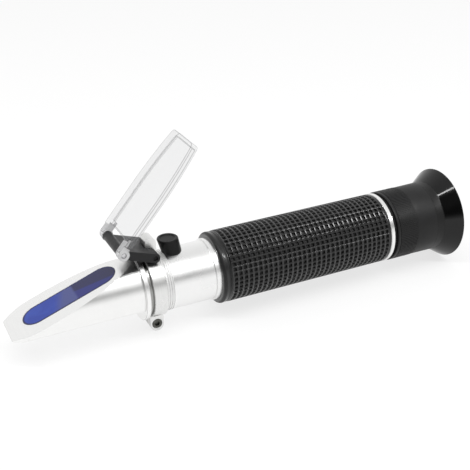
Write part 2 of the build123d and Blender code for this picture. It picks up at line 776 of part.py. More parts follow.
with BuildPart() as eye_lens:
    with BuildSketch(Plane.XZ):
        with BuildLine():
            Polyline(
                (eye_front, lens_open),
                (eye_front, lens_radius),
                (eye_back, lens_radius),
                (eye_back, 0),
                (eye_front - lens_bulge, 0),
            )
            ThreePointArc(
                (eye_front - lens_bulge, 0),
                (eye_front - lens_bulge + lens_sag, lens_open / 2),
                (eye_front, lens_open),
            )
        make_face()
    revolve(axis=Axis.X)
eye_lens.part.label = "eye_lens"
export_step(eye_lens.part, "parts/eye_lens.step")

# Retainer: screwed into the cell's mouth, it holds the lenses and the ring lip
with BuildPart() as lens_retainer:
    with BuildSketch(Plane.YZ.offset(eye_back)):
        Circle(lens_radius)
    extrude(amount=spigot_end - eye_back)
    with BuildSketch(Plane.YZ.offset(spigot_end)):
        Circle(shoulder_flange)
    extrude(amount=retainer_length)
    chamfer(lens_retainer.edges().sort_by(Axis.X)[-1], 0.4)
    with BuildSketch(Plane.YZ.offset(eye_back)):
        Circle(lens_open)
    extrude(amount=spigot_end - eye_back + retainer_length, mode=Mode.SUBTRACT)
lens_retainer.part.label = "lens_retainer"
export_step(lens_retainer.part, "parts/lens_retainer.step")

# Focus ring: turns on the sleeve and takes the lens cell along by an inner lip
focus_bore_end = shoulder_front - 0.4
inner_radius = shoulder_flange + 0.5
cup_spigot_radius = focus_radius - 1.68
cup_spigot_length = 3.5

with BuildPart() as focus_ring:
    with BuildSketch(Plane.YZ.offset(focus_front)):
        Circle(focus_radius)
    extrude(amount=focus_back - focus_front)
    fillet(focus_ring.edges().sort_by(Axis.X)[0], 0.3)
    with BuildSketch(Plane.YZ.offset(focus_back)):
        Circle(cup_spigot_radius)
    extrude(amount=cup_spigot_length)
    with BuildSketch(Plane.YZ.offset(focus_front)):
        Circle(sleeve_radius + running_gap)
    extrude(amount=focus_bore_end - focus_front, mode=Mode.SUBTRACT)
    with BuildSketch(Plane.YZ.offset(focus_bore_end)):
        Circle(inner_radius)
    extrude(amount=focus_back + cup_spigot_length - focus_bore_end, mode=Mode.SUBTRACT)
    with BuildSketch(Plane.YZ.offset(shoulder_back + 0.1)):
        Circle(inner_radius)
        Circle(cell_radius + running_gap, mode=Mode.SUBTRACT)
    extrude(amount=lip_length)
focus_ring.part.label = "focus_ring"
export_step(focus_ring.part, "parts/focus_ring.step")

# Eyecup: a soft flared cup pushed over the ring's spigot
cup_floor = focus_back + cup_spigot_length
cup_rise = rim_radius - focus_radius
rim_land = rim_radius - 1.38
rim_round = 0.6
land_rise = rim_land - inner_radius

with BuildPart() as eyecup:
    with BuildSketch(Plane.XZ):
        with BuildLine():
            Spline(
                (focus_back, focus_radius),
                (cup_floor, focus_radius + 0.07 * cup_rise),
                (0.486 * focus_back, focus_radius + 0.265 * cup_rise),
                (0.299 * focus_back, focus_radius + 0.635 * cup_rise),
                (-rim_round, rim_radius),
                tangents=((1, 0), (1, 0)),
                tangent_scalars=(1, 0.5),
            )
            TangentArc((-rim_round, rim_radius), (0, rim_radius - rim_round), tangent=(1, 0))
            Line((0, rim_radius - rim_round), (0, rim_land))
            Spline(
                (0, rim_land),
                (0.299 * focus_back, inner_radius + 0.6 * land_rise),
                (0.486 * focus_back, inner_radius + 0.246 * land_rise),
                (cup_floor, inner_radius),
            )
            Polyline(
                (cup_floor, inner_radius),
                (cup_floor, cup_spigot_radius),
                (focus_back, cup_spigot_radius),
                (focus_back, focus_radius),
            )
        make_face()
    revolve(axis=Axis.X)
eyecup.part.label = "eyecup"
export_step(eyecup.part, "parts/eyecup.step")
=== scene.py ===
import math

import bmesh
import bpy
from mathutils import Matrix, Vector
from mathutils.bvhtree import BVHTree
from mathutils.geometry import intersect_point_line


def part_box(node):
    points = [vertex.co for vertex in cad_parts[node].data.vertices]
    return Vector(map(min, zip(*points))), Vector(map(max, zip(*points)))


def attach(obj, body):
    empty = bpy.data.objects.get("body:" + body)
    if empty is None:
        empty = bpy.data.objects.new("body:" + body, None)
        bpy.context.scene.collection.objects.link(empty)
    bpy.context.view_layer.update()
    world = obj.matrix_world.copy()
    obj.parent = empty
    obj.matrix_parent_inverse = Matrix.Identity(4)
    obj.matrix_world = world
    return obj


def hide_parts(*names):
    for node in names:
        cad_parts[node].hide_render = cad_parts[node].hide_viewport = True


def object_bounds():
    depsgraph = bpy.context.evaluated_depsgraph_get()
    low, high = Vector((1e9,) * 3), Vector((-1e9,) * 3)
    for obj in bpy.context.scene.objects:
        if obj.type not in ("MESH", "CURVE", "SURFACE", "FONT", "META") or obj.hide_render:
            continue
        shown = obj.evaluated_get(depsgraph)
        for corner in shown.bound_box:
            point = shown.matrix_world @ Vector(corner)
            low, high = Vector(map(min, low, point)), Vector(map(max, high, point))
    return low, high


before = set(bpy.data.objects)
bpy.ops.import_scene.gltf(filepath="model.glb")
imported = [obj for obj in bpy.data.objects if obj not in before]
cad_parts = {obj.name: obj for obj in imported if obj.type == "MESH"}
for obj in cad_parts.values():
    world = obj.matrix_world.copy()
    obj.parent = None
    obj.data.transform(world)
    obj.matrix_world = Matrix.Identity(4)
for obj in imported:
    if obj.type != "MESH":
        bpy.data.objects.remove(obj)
cad_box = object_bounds()

# Studio: white paper under a soft bright sky that is dimmer in a belt on the
# near side and behind the camera, with one slanted strip lamp overhead. The
# camera stands over the near side and looks down on the instrument.
FOCAL_LENGTH_PIXELS = 949.9
PICTURE_PIXELS = 470
SENSOR_MM = 36.0
CAMERA_PLACE = Vector((-0.241163, -0.318724, 0.183289))
CAMERA_RIGHT = Vector((0.907098, -0.419385, -0.035906))
CAMERA_DOWN = Vector((-0.214310, -0.386743, -0.896940))
scene = bpy.context.scene
scene.view_settings.view_transform = "Standard"


def new_object(name, data):
    """An object at the origin of the scene."""
    item = bpy.data.objects.new(name, data)
    scene.collection.objects.link(item)
    return item


def turned_to(place, right, up, back):
    """The placing of something at a place with its own three directions."""
    return Matrix.Translation(place) @ Matrix((right, up, back)).transposed().to_4x4()


camera_data = bpy.data.cameras.new("camera")
camera_data.sensor_width = SENSOR_MM
camera_data.lens = FOCAL_LENGTH_PIXELS / PICTURE_PIXELS * SENSOR_MM
camera_data.clip_start = 0.01
camera = new_object("camera", camera_data)
camera_back = CAMERA_DOWN.cross(CAMERA_RIGHT)
camera.matrix_world = turned_to(CAMERA_PLACE, CAMERA_RIGHT, -CAMERA_DOWN, camera_back)
scene.camera = camera


def wire(tree, node, sources):
    """Feeds the node's sockets from plain values or from other nodes' outputs."""
    for socket, source in sources.items():
        if isinstance(source, bpy.types.NodeSocket):
            tree.links.new(source, node.inputs[socket])
        else:
            node.inputs[socket].default_value = source


def add_node(tree, kind, sources):
    """A new node with its sockets fed."""
    node = tree.nodes.new(kind)
    wire(tree, node, sources)
    return node


def math_node(tree, operation, *sources):
    """The result of an operation on values or outputs."""
    node = tree.nodes.new("ShaderNodeMath")
    node.operation = operation
    wire(tree, node, dict(enumerate(sources)))
    return node.outputs[0]


def shift(tree, value, low, high, start=0.0, end=1.0, course="LINEAR"):
    """Runs from low to high as the value goes from start to end."""
    node = tree.nodes.new("ShaderNodeMapRange")
    node.interpolation_type = course
    limits = {"From Min": start, "From Max": end, "To Min": low, "To Max": high}
    wire(tree, node, {"Value": value, **limits})
    return node.outputs[0]


def ease(tree, value, start, end, low=0.0, high=1.0):
    """The same with a soft start and a soft end."""
    return shift(tree, value, low, high, start, end, "SMOOTHSTEP")


def blend(tree, amount, first, second):
    """The first colour where the amount is 0 and the second where it is 1."""
    node = tree.nodes.new("ShaderNodeMix")
    node.data_type = "RGBA"
    sources = {"Factor": amount}
    for socket, colour in ((6, first), (7, second)):
        sources[socket] = (*colour, 1) if isinstance(colour, tuple) else colour
    wire(tree, node, sources)
    return node.outputs[2]


def greys(tree, height, stops):
    """A grey for each height in the sky, from (height, grey) stops."""
    node = add_node(tree, "ShaderNodeValToRGB", {"Fac": height})
    points = node.color_ramp.elements
    for point, grey in ((points[0], stops[0][1]), (points[1], stops[-1][1])):
        point.color = (grey, grey, grey, 1)
    for place, grey in stops[1:-1]:
        points.new(place).color = (grey, grey, grey, 1)
    return node.outputs["Color"]


# The sky's greys from the horizon (0) to overhead (1), on the far and the near
# side and seen through glass; then the dim patch behind the camera
FAR_SKY = ((0.0, 0.98), (0.3, 0.98), (0.8, 0.88), (1.0, 0.78))
NEAR_SKY = (
    (0.0, 0.95),
    (0.12, 0.90),
    (0.26, 0.40),
    (0.38, 0.42),
    (0.54, 0.88),
    (0.70, 0.98),
    (0.86, 0.92),
    (1.0, 0.78),
)
SKY_THROUGH_GLASS = ((0.0, 1.0), (0.04, 1.0), (0.25, 0.62), (1.0, 0.70))
FAR_TO_NEAR = (0.25, -0.35)
DIM_WAY = (-0.74, -0.50, 0.45)
DIM_BORDER = (0.77, 0.90)
DIM_POWER = 0.15
POWER_ON_MATT = 0.78
world = bpy.data.worlds.new("sky")
scene.world = world
world.use_nodes = True
sky = world.node_tree
sky.nodes.clear()
ray = sky.nodes.new("ShaderNodeLightPath").outputs
direction = sky.nodes.new("ShaderNodeTexCoord").outputs["Generated"]
parts = add_node(sky, "ShaderNodeSeparateXYZ", {0: direction}).outputs
near_side = ease(sky, parts["Y"], *FAR_TO_NEAR)
far_greys = greys(sky, parts["Z"], FAR_SKY)
near_greys = greys(sky, parts["Z"], NEAR_SKY)
sky_grey = blend(sky, near_side, far_greys, near_greys)
behind = sky.nodes.new("ShaderNodeVectorMath")
behind.operation = "DOT_PRODUCT"
wire(sky, behind, {0: direction, 1: DIM_WAY})
dimmed = ease(sky, behind.outputs["Value"], *DIM_BORDER, 1.0, DIM_POWER)
on_matt = shift(sky, ray["Is Diffuse Ray"], 1.0, POWER_ON_MATT)
sky_power = math_node(sky, "MULTIPLY", dimmed, on_matt)
sky_light = add_node(sky, "ShaderNodeBackground", {"Color": sky_grey, "Strength": sky_power})
glass_greys = greys(sky, parts["Z"], SKY_THROUGH_GLASS)
backdrop = blend(sky, ray["Is Transmission Ray"], (1, 1, 1), glass_greys)
sky_seen = add_node(sky, "ShaderNodeBackground", {"Color": backdrop})
seen = math_node(sky, "MAXIMUM", ray["Is Camera Ray"], ray["Is Transmission Ray"])
sky_mix = add_node(
    sky,
    "ShaderNodeMixShader",
    {"Fac": seen, 1: sky_light.outputs[0], 2: sky_seen.outputs[0]},
)
add_node(sky, "ShaderNodeOutputWorld", {"Surface": sky_mix.outputs[0]})

LAMP_PLACE = Vector((-0.16, -0.28, 0.745))
LAMP_AIM = Vector((-0.16, 0, 0))
LAMP_ALONG = Vector((0.848, -0.530, 0))
lamp_data = bpy.data.lights.new("overhead_strip", "AREA")
lamp_data.shape = "RECTANGLE"
lamp_data.size = 1.5
lamp_data.size_y = 0.045
lamp_data.energy = 5.0
lamp = new_object("overhead_strip", lamp_data)
lamp_back = (LAMP_PLACE - LAMP_AIM).normalized()
lamp_right = (LAMP_ALONG - LAMP_ALONG.dot(lamp_back) * lamp_back).normalized()
lamp.matrix_world = turned_to(LAMP_PLACE, lamp_right, lamp_back.cross(lamp_right), lamp_back)

FLOOR_REACH = 3
FLOOR_GAP = 0.000005
PAPER_GREY = 0.30
PAPER_GLOW = 0.725
floor_height = cad_box[0][2] - FLOOR_GAP
floor_corners = [
    (side * FLOOR_REACH, end * FLOOR_REACH, floor_height)
    for side, end in ((-1, -1), (1, -1), (1, 1), (-1, 1))
]
floor_mesh = bpy.data.meshes.new("floor")
floor_mesh.from_pydata(floor_corners, [], [(0, 1, 2, 3)])
paper = bpy.data.materials.new("white_paper")
paper.use_nodes = True
tree = paper.node_tree
tree.nodes.clear()
ray = tree.nodes.new("ShaderNodeLightPath").outputs
looked_at = math_node(tree, "MAXIMUM", ray["Is Camera Ray"], ray["Is Transmission Ray"])
met = math_node(tree, "MAXIMUM", looked_at, ray["Is Glossy Ray"])
paper_glow = math_node(tree, "MULTIPLY", met, PAPER_GLOW)
glow = add_node(tree, "ShaderNodeEmission", {"Strength": paper_glow})
paper_colour = (PAPER_GREY, PAPER_GREY, PAPER_GREY, 1)
matt = add_node(tree, "ShaderNodeBsdfDiffuse", {"Color": paper_colour})
white = add_node(tree, "ShaderNodeAddShader", {0: matt.outputs[0], 1: glow.outputs[0]})
add_node(tree, "ShaderNodeOutputMaterial", {"Surface": white.outputs[0]})
floor_mesh.materials.append(paper)
new_object("floor", floor_mesh)

# Prism housing: a bar of aluminium alloy, turned, milled flat below and sliced
# for the sloping face, then finely blasted. Its spigot screws into the barrel
# tube, up to the flange.
HOUSING_EDGE = 0.00012
SPECK_HEIGHT = 0.0000015
RING_HEIGHT = 0.0000012
# The grey painted into grooves as shade
GROOVE_SHADE_GREY = (0.36, 0.36, 0.35)
DULL_ADDS = 0.28

# How the edges of the CAD's solids are found and rounded
WELD = 0.0000015  # corners this close are one corner
FLAT = math.radians(0.6)  # faces that meet at less than this are one face
SMOOTH_BEND = math.radians(35)  # a run of edges goes on round bends up to this
STRAIGHT_ENOUGH = 0.01  # a bend below this leaves a rounding all its room
SHARE_OF_BEND = 0.5  # of a tight bend's radius, for a rounding inside it
SHARE_OF_WALL = 0.45  # of a wall's width, for the rounding on each side of it
OUTLINE_STEP = 0.00005  # a wall this narrow is a step in an outline
NARROWEST = 0.00001  # a rounding below this is left out
NARROWER = 0.6  # what a rounding that cuts another one shrinks by, each time
ROUNDING_TRIES = 9
SEARCH_WIDTHS = 1.6  # how many widths away from a cut its roundings may lie
LEAST_SEARCH = 0.00006


def joined_shape(node, jog):
    """The CAD solid as one closed shape: flat faces whole, jogs taken out."""
    shape = bmesh.new()
    shape.from_mesh(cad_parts[node].data)
    bmesh.ops.remove_doubles(shape, verts=shape.verts, dist=WELD)
    if jog:
        bmesh.ops.dissolve_degenerate(shape, dist=jog, edges=shape.edges)
    bmesh.ops.dissolve_limit(shape, angle_limit=FLAT, verts=shape.verts, edges=shape.edges)
    bmesh.ops.recalc_face_normals(shape, faces=shape.faces)
    for face in shape.faces:
        face.smooth = True
    return shape


def edge_runs(sharp):
    """Gathers the sharp edges that follow one another smoothly into runs."""
    left = set(sharp)
    marked = set(sharp)
    runs = []
    for first in sharp:
        if first not in left:
            continue
        left.discard(first)
        run, waiting = [], [first]
        while waiting:
            line = waiting.pop()
            run.append(line)
            for corner in line.verts:
                after = [
                    other for other in corner.link_edges if other in marked and other is not line
                ]
                if len(after) == 1 and after[0] in left:
                    along = line.other_vert(corner).co - corner.co
                    onward = after[0].other_vert(corner).co - corner.co
                    if math.pi - along.angle(onward) < SMOOTH_BEND:
                        left.discard(after[0])
                        waiting.append(after[0])
        runs.append(run)
    return runs


def room_beside(run):
    """How wide a rounding can be before it meets the next corner or a tight bend."""
    inside = set(run)
    room = math.inf
    for line in run:
        for corner in line.verts:
            along = line.other_vert(corner).co - corner.co
            for other in corner.link_edges:
                if other is line:
                    continue
                reach = other.other_vert(corner).co - corner.co
                turn = along.angle(reach)
                if other in inside:
                    bend = math.pi - turn
                    shorter = min(along.length, reach.length)
                    if bend > STRAIGHT_ENOUGH:
                        room = min(room, SHARE_OF_BEND * shorter / bend)
                elif reach.length > OUTLINE_STEP:
                    room = min(room, SHARE_OF_WALL * reach.length * math.sin(turn))
    return room


def crossing_places(mesh):
    """Where faces of the mesh cut through one another."""
    shape = bmesh.new()
    shape.from_mesh(mesh)
    bmesh.ops.triangulate(shape, faces=shape.faces)
    shape.faces.ensure_lookup_table()
    search = BVHTree.FromBMesh(shape)
    places = []
    for one, other in search.overlap(search):
        pair = (shape.faces[one], shape.faces[other])
        if one < other and not set(pair[0].verts) & set(pair[1].verts):
            smaller = min(pair, key=lambda face: face.calc_area())
            places.append(smaller.calc_center_median())
    shape.free()
    return places


def is_near(run, places, reach):
    """Whether the run of edges passes one of the places within reach."""
    for line in run:
        start, end = line.verts[0].co, line.verts[1].co
        for place in places:
            share = intersect_point_line(place, start, end)[1]
            nearest = start.lerp(end, min(1.0, max(0.0, share)))
            if (nearest - place).length < reach:
                return True
    return False


def finished_copy(node, name, edge, steps=2, crease=38, edge_finish=None, jog=0.0):
    """A copy of the CAD solid, its edges sharper than crease rounded edge wide.

    Each run of edges is rounded as wide as it has room for, and narrower
    still where two roundings would cut through one another. The roundings
    take the finish in place edge_finish, and corners jog apart are merged.
    """
    shape = joined_shape(node, jog)
    weight = shape.edges.layers.float.new("bevel_weight_edge")
    sharp = [
        line
        for line in shape.edges
        if len(line.link_faces) == 2 and line.calc_face_angle() > math.radians(crease)
    ]
    runs = edge_runs(sharp)
    shares = [min(1.0, room_beside(run) / edge) for run in runs]
    mesh = bpy.data.meshes.new(name)
    piece = new_object(name, mesh)
    rounding = piece.modifiers.new("rounding", "BEVEL")
    rounding.width = edge
    rounding.segments = steps
    rounding.limit_method = "WEIGHT"
    rounding.use_clamp_overlap = False
    if edge_finish is not None:
        rounding.material = edge_finish
        for _ in range(edge_finish + 1):
            mesh.materials.append(None)
    flow = piece.modifiers.new("flow", "WEIGHTED_NORMAL")
    flow.weight = 90
    made = None
    for _ in range(ROUNDING_TRIES):
        if made:
            bpy.data.meshes.remove(made)
        for run, share in zip(runs, shares):
            for line in run:
                line[weight] = share if share * edge > NARROWEST else 0.0
        shape.to_mesh(mesh)
        mesh.update()
        bpy.context.view_layer.update()
        seen = piece.evaluated_get(bpy.context.evaluated_depsgraph_get())
        made = bpy.data.meshes.new_from_object(seen)
        places = crossing_places(made)
        if not places:
            break
        for number, run in enumerate(runs):
            reach = max(SEARCH_WIDTHS * edge * shares[number], LEAST_SEARCH)
            if is_near(run, places, reach):
                shares[number] *= NARROWER
    shape.free()
    piece.modifiers.clear()
    piece.data = made
    bpy.data.meshes.remove(mesh)
    made.name = name
    return piece


def dress(piece, finishes, body, node):
    """Puts the piece in its node's place, on its body, with its finishes in order."""
    materials = piece.data.materials
    for place, finish in enumerate(finishes):
        if place < len(materials):
            materials[place] = finish
        else:
            materials.append(finish)
    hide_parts(node)
    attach(piece, body)


def new_group(kind, name, sockets_in, socket_out_kind, *labels_out):
    """An empty node group, its inputs and its end node.

    An input is a label, a kind of socket and, for an effect, its usual value.
    """
    group = bpy.data.node_groups.new(name, kind)
    for label, socket_kind, *usual in sockets_in:
        socket = group.interface.new_socket(label, in_out="INPUT", socket_type=socket_kind)
        if usual:
            socket.default_value = usual[0]
    for label in labels_out:
        group.interface.new_socket(label, in_out="OUTPUT", socket_type=socket_out_kind)
    start, end = group.nodes.new("NodeGroupInput"), group.nodes.new("NodeGroupOutput")
    return group, start.outputs, end


def place_effect(tree, effect, sources=None):
    """Puts an effect's group in a material, with the material's own values."""
    node = tree.nodes.new("ShaderNodeGroup")
    node.node_tree = effect
    wire(tree, node, sources or {})
    return node.outputs


def noise(tree, spot, scale, detail, distortion=0.0):
    """A soft random pattern at the spot."""
    sources = {"Vector": spot, "Scale": scale, "Detail": detail, "Distortion": distortion}
    return add_node(tree, "ShaderNodeTexNoise", sources).outputs["Fac"]


# Turning marks: fine broken rings around the long axis
turning_marks, given, end = new_group(
    "ShaderNodeTree",
    "turning_marks",
    [
        ("Rings per metre", "NodeSocketFloat", 5000.0),
        ("Break-up", "NodeSocketFloat", 90.0),
    ],
    "NodeSocketFloat",
    "Height",
    "Tone",
)
spot = turning_marks.nodes.new("ShaderNodeTexCoord").outputs["Object"]
parts = add_node(turning_marks, "ShaderNodeSeparateXYZ", {0: spot}).outputs
stretched = turning_marks.nodes.new("ShaderNodeCombineXYZ")
for axis, label in (("X", "Rings per metre"), ("Y", "Break-up"), ("Z", "Break-up")):
    scaled = math_node(turning_marks, "MULTIPLY", parts[axis], given[label])
    wire(turning_marks, stretched, {axis: scaled})
rings = noise(turning_marks, stretched.outputs[0], scale=1.0, detail=3.0)
ring_tone = shift(turning_marks, rings, 0.0, 1.0, start=0.3, end=0.7)
wire(turning_marks, end, {"Height": rings, "Tone": ring_tone})

# Handling marks: soft smears and faint dust from use
handling_marks, given, end = new_group(
    "ShaderNodeTree",
    "handling_marks",
    [
        ("Patch scale", "NodeSocketFloat", 90.0),
        ("Speck scale", "NodeSocketFloat", 2600.0),
    ],
    "NodeSocketFloat",
    "Smear",
    "Speck",
)
spot = handling_marks.nodes.new("ShaderNodeTexCoord").outputs["Object"]
patches = noise(handling_marks, spot, given["Patch scale"], detail=4.0, distortion=0.6)
specks = noise(handling_marks, spot, given["Speck scale"], detail=2.0)
smears = shift(handling_marks, patches, 0.0, 1.0, start=0.38, end=0.66)
wire(handling_marks, end, {"Smear": smears, "Speck": specks})


def new_finish(name):
    """A new material, its node tree and its surface shader."""
    material = bpy.data.materials.new(name)
    material.use_nodes = True
    return material, material.node_tree, material.node_tree.nodes["Principled BSDF"]


def station_of(tree):
    """The station of the point that is being shaded."""
    spot = tree.nodes.new("ShaderNodeTexCoord").outputs["Object"]
    return add_node(tree, "ShaderNodeSeparateXYZ", {0: spot}).outputs["X"]


def roughen(tree, height, depth, base=None):
    """A normal raised by height, at most depth high, over the base normal."""
    sources = {"Strength": 1.0, "Distance": depth, "Height": height}
    if base is not None:
        sources["Normal"] = base
    return add_node(tree, "ShaderNodeBump", sources).outputs[0]


def aluminium(name, light, dark, roughness, rings, groove_shade=None, dull=None):
    """Satin aluminium: rings from turning, a little smear in its roughness.

    Groove shade gives the stations where the shade painted into a groove
    fades out, dull the stations between which the metal has less of a shine.
    """
    material, tree, face = new_finish(name)
    turning = place_effect(tree, turning_marks, {"Rings per metre": rings})
    handling = place_effect(tree, handling_marks)
    tone = blend(tree, turning["Tone"], dark, light)
    if groove_shade:
        tone = blend(tree, ease(tree, station_of(tree), *groove_shade), GROOVE_SHADE_GREY, tone)
    sheen = shift(tree, handling["Smear"], roughness, roughness + 0.05)
    if dull:
        middle, half = (dull[0] + dull[1]) / 2, (dull[1] - dull[0]) / 2
        from_middle = math_node(tree, "SUBTRACT", station_of(tree), middle)
        away = math_node(tree, "ABSOLUTE", from_middle)
        duller = shift(tree, ease(tree, away, half * 1.2, half), 0.0, DULL_ADDS)
        sheen = math_node(tree, "ADD", sheen, duller)
    relief = roughen(tree, turning["Height"], RING_HEIGHT)
    relief = roughen(tree, handling["Speck"], SPECK_HEIGHT, relief)
    looks = {"Base Color": tone, "Metallic": 1.0, "Roughness": sheen, "Normal": relief}
    wire(tree, face, looks)
    return material


housing_metal = aluminium(
    "blasted_aluminium",
    light=(0.91, 0.91, 0.90),
    dark=(0.88, 0.88, 0.875),
    roughness=0.22,
    rings=2600.0,
)
# The roundings of the metal parts take a darker, duller finish: painted shade that draws their
# edges as thin grey lines
shaded_rounding = aluminium(
    "shaded_rounding",
    light=(0.66, 0.66, 0.655),
    dark=(0.60, 0.60, 0.595),
    roughness=0.5,
    rings=2600.0,
)
housing = finished_copy("prism_housing", "housing_bar", HOUSING_EDGE, edge_finish=1)
dress(housing, [housing_metal, shaded_rounding], "barrel", "prism_housing")

# Main prism: a polished glass wedge, cemented into its pocket in the face. Its
# blue glass is painted with reflections of its inner faces, as a bright blue, a
# lilac and a dark slate field, and with painted shade towards the window's rim.
FACE_START = (-0.1952, 0, -0.00505)
FACE_ANGLE = math.atan(0.353)
WINDOW_START = 0.00515
WINDOW_END = 0.04526
WINDOW_HALF_WIDTH = 0.00603
BLUE_DEEP, BLUE_BRIGHT = (0.006, 0.036, 0.33), (0.014, 0.055, 0.39)
LILAC = (0.055, 0.07, 0.24)
SLATE, SLATE_LOWER = (0.005, 0.006, 0.070), (0.008, 0.014, 0.17)
RIM_SHADE_BLUE = (0.002, 0.004, 0.085)
LILAC_BORDER, LILAC_SLANT = (0.0180, 0.0235), -0.35
LOWER_BORDER, LOWER_SLANT = (0.0076, 0.0065), 0.24
SLATE_BORDER = (0.0268, 0.0282)
RIM_BORDER = (0.00505, 0.00560)
prism_glass, tree, face = new_finish("blue_prism_glass")
on_face = tree.nodes.new("ShaderNodeMapping")
on_face.vector_type = "TEXTURE"
spot = tree.nodes.new("ShaderNodeTexCoord").outputs["Object"]
wire(tree, on_face, {"Vector": spot, "Location": FACE_START, "Rotation": (0, -FACE_ANGLE, 0)})
parts = add_node(tree, "ShaderNodeSeparateXYZ", {0: on_face.outputs[0]}).outputs
along, across = parts["X"], parts["Y"]
lilac = ease(tree, math_node(tree, "MULTIPLY_ADD", across, LILAC_SLANT, along), *LILAC_BORDER)
lower = ease(tree, math_node(tree, "MULTIPLY_ADD", along, LOWER_SLANT, across), *LOWER_BORDER)
slate = ease(tree, along, *SLATE_BORDER)

# The distance from the window's middle line, which is its half width at the rim
window_middle = (WINDOW_START + WINDOW_END) / 2
window_straight = (WINDOW_END - WINDOW_START) / 2 - WINDOW_HALF_WIDTH
from_middle = math_node(tree, "ABSOLUTE", math_node(tree, "SUBTRACT", along, window_middle))
past_end = math_node(tree, "SUBTRACT", from_middle, window_straight)
past_end = math_node(tree, "MAXIMUM", past_end, 0.0)
squares = math_node(tree, "MULTIPLY", past_end, past_end)
squares = math_node(tree, "MULTIPLY_ADD", across, across, squares)
# Painted shade: the glass darkens towards the rim of the window
rim = ease(tree, math_node(tree, "SQRT", squares), *RIM_BORDER)

cloud = place_effect(tree, handling_marks, {"Patch scale": 130.0})["Smear"]
# The lilac, slate and lower fields are painted reflections of the inner faces; the cloud is a
# random tone
front_field = blend(tree, lilac, blend(tree, cloud, BLUE_DEEP, BLUE_BRIGHT), LILAC)
rear_field = blend(tree, lower, SLATE, SLATE_LOWER)
fields = blend(tree, slate, front_field, rear_field)
prism_blue = blend(tree, rim, fields, RIM_SHADE_BLUE)
wire(tree, face, {"Base Color": prism_blue, "Roughness": 0.06})
wire(tree, face, {"IOR": 1.52, "Specular IOR Level": 0.38})


def finish_nodes(finish, *nodes):
    """Gives its finish to solids that stay as the CAD has them."""
    for node in nodes:
        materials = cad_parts[node].data.materials
        materials.clear()
        materials.append(finish)


finish_nodes(prism_glass, "main_prism")

# Cement line: the thin dark blue seal around the glass, run into the gap as a
# liquid and wiped flush with the face.
cement, tree, face = new_finish("blue_cement")
smear = place_effect(tree, handling_marks)["Smear"]
cement_blue = blend(tree, smear, (0.006, 0.009, 0.060), (0.010, 0.014, 0.085))
wire(tree, face, {"Base Color": cement_blue, "Roughness": 0.35})
finish_nodes(cement, "prism_gasket")

# Barrel tube: drawn aluminium with three fine grooves and a bright shoulder,
# anodised in its natural colour. It carries the housing, the clamp, the
# calibration bush and the grip.
TUBE_EDGE = 0.00006
clamp_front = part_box("clamp_ring")[0].x
clamp_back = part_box("clamp_ring")[1].x
tube_metal = aluminium(
    "anodised_tube",
    light=(0.90, 0.90, 0.895),
    dark=(0.87, 0.87, 0.865),
    roughness=0.24,
    rings=5200.0,
    # Painted shade: the tube is painted grey in the groove in front of the clamp
    groove_shade=(clamp_front - 0.00005, clamp_front + 0.00015),
    dull=(clamp_back + 0.0004, clamp_back + 0.0030),
)
tube = finished_copy("barrel_tube", "barrel_shell", TUBE_EDGE, steps=1, edge_finish=1)
dress(tube, [tube_metal, shaded_rounding], "barrel", "barrel_tube")

# Clamp ring: machined from aluminium, split below between two ears that a
# blackened socket screw and a nut draw together. The hinge ear stands on top.
CLAMP_EDGE = 0.00018
clamp_metal = aluminium(
    "machined_clamp",
    light=(0.80, 0.80, 0.79),
    dark=(0.75, 0.75, 0.74),
    roughness=0.27,
    rings=3200.0,
    # Painted shade: the clamp's front face beside the groove is painted grey
    groove_shade=(clamp_front + 0.00005, clamp_front + 0.00035),
)
clamp = finished_copy("clamp_ring", "clamp_band", CLAMP_EDGE, edge_finish=1)
dress(clamp, [clamp_metal, shaded_rounding], "barrel", "clamp_ring")


def lighter(tone, times):
    """The tone some times as light, at most white."""
    return tuple(min(1.0, shade * times) for shade in tone)


def steel(name, tone, roughness):
    """Machined steel with small marks of handling all over."""
    material, tree, face = new_finish(name)
    marks = place_effect(tree, handling_marks, {"Patch scale": 700.0})
    looks = {
        "Base Color": blend(tree, marks["Smear"], tone, lighter(tone, 1.15)),
        "Metallic": 1.0,
        "Roughness": shift(tree, marks["Speck"], roughness, roughness + 0.12),
        "Normal": roughen(tree, marks["Speck"], 0.000002),
    }
    wire(tree, face, looks)
    return material


turned_steel = steel("turned_steel", (0.55, 0.55, 0.56), 0.25)
finish_nodes(steel("black_oxide_steel", (0.10, 0.10, 0.09), 0.32), "clamp_screw")
finish_nodes(turned_steel, "clamp_nut")

# Hinge arm: a die-cast link in a satin black coat, slotted to straddle the hinge
# ear. Its two tongues turn on a blackened pin that is pressed into the ear.
ARM_EDGE = 0.00022
coat, tree, face = new_finish("black_satin_coat")
marks = place_effect(tree, handling_marks, {"Patch scale": 260.0})
looks = {
    "Base Color": blend(tree, marks["Smear"], (0.004, 0.004, 0.0045), (0.010, 0.010, 0.011)),
    "Roughness": shift(tree, marks["Smear"], 0.36, 0.5),
    "Specular IOR Level": 0.35,
    "Normal": roughen(tree, marks["Speck"], 0.00001),
}
wire(tree, face, looks)
arm = finished_copy("hinge_arm", "arm_link", ARM_EDGE)
dress(arm, [coat], "arm", "hinge_arm")
finish_nodes(steel("blackened_pin", (0.022, 0.022, 0.022), 0.42), "arm_pin")

# Daylight plate: injection-moulded clear plastic with a raised rim on its outer
# side. Its two lugs turn on a steel pin that is pressed into the arm's barrel.
PLATE_EDGE = 0.00024
RIM_JOG = 0.00005
LUG_REACH = 0.0033
PLATE_LEAN = math.radians(48.3)
pin_low, pin_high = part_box("lid_pin")
lid_pin = (pin_low + pin_high) / 2
plate_way = Vector((math.cos(PLATE_LEAN), 0, math.sin(PLATE_LEAN)))


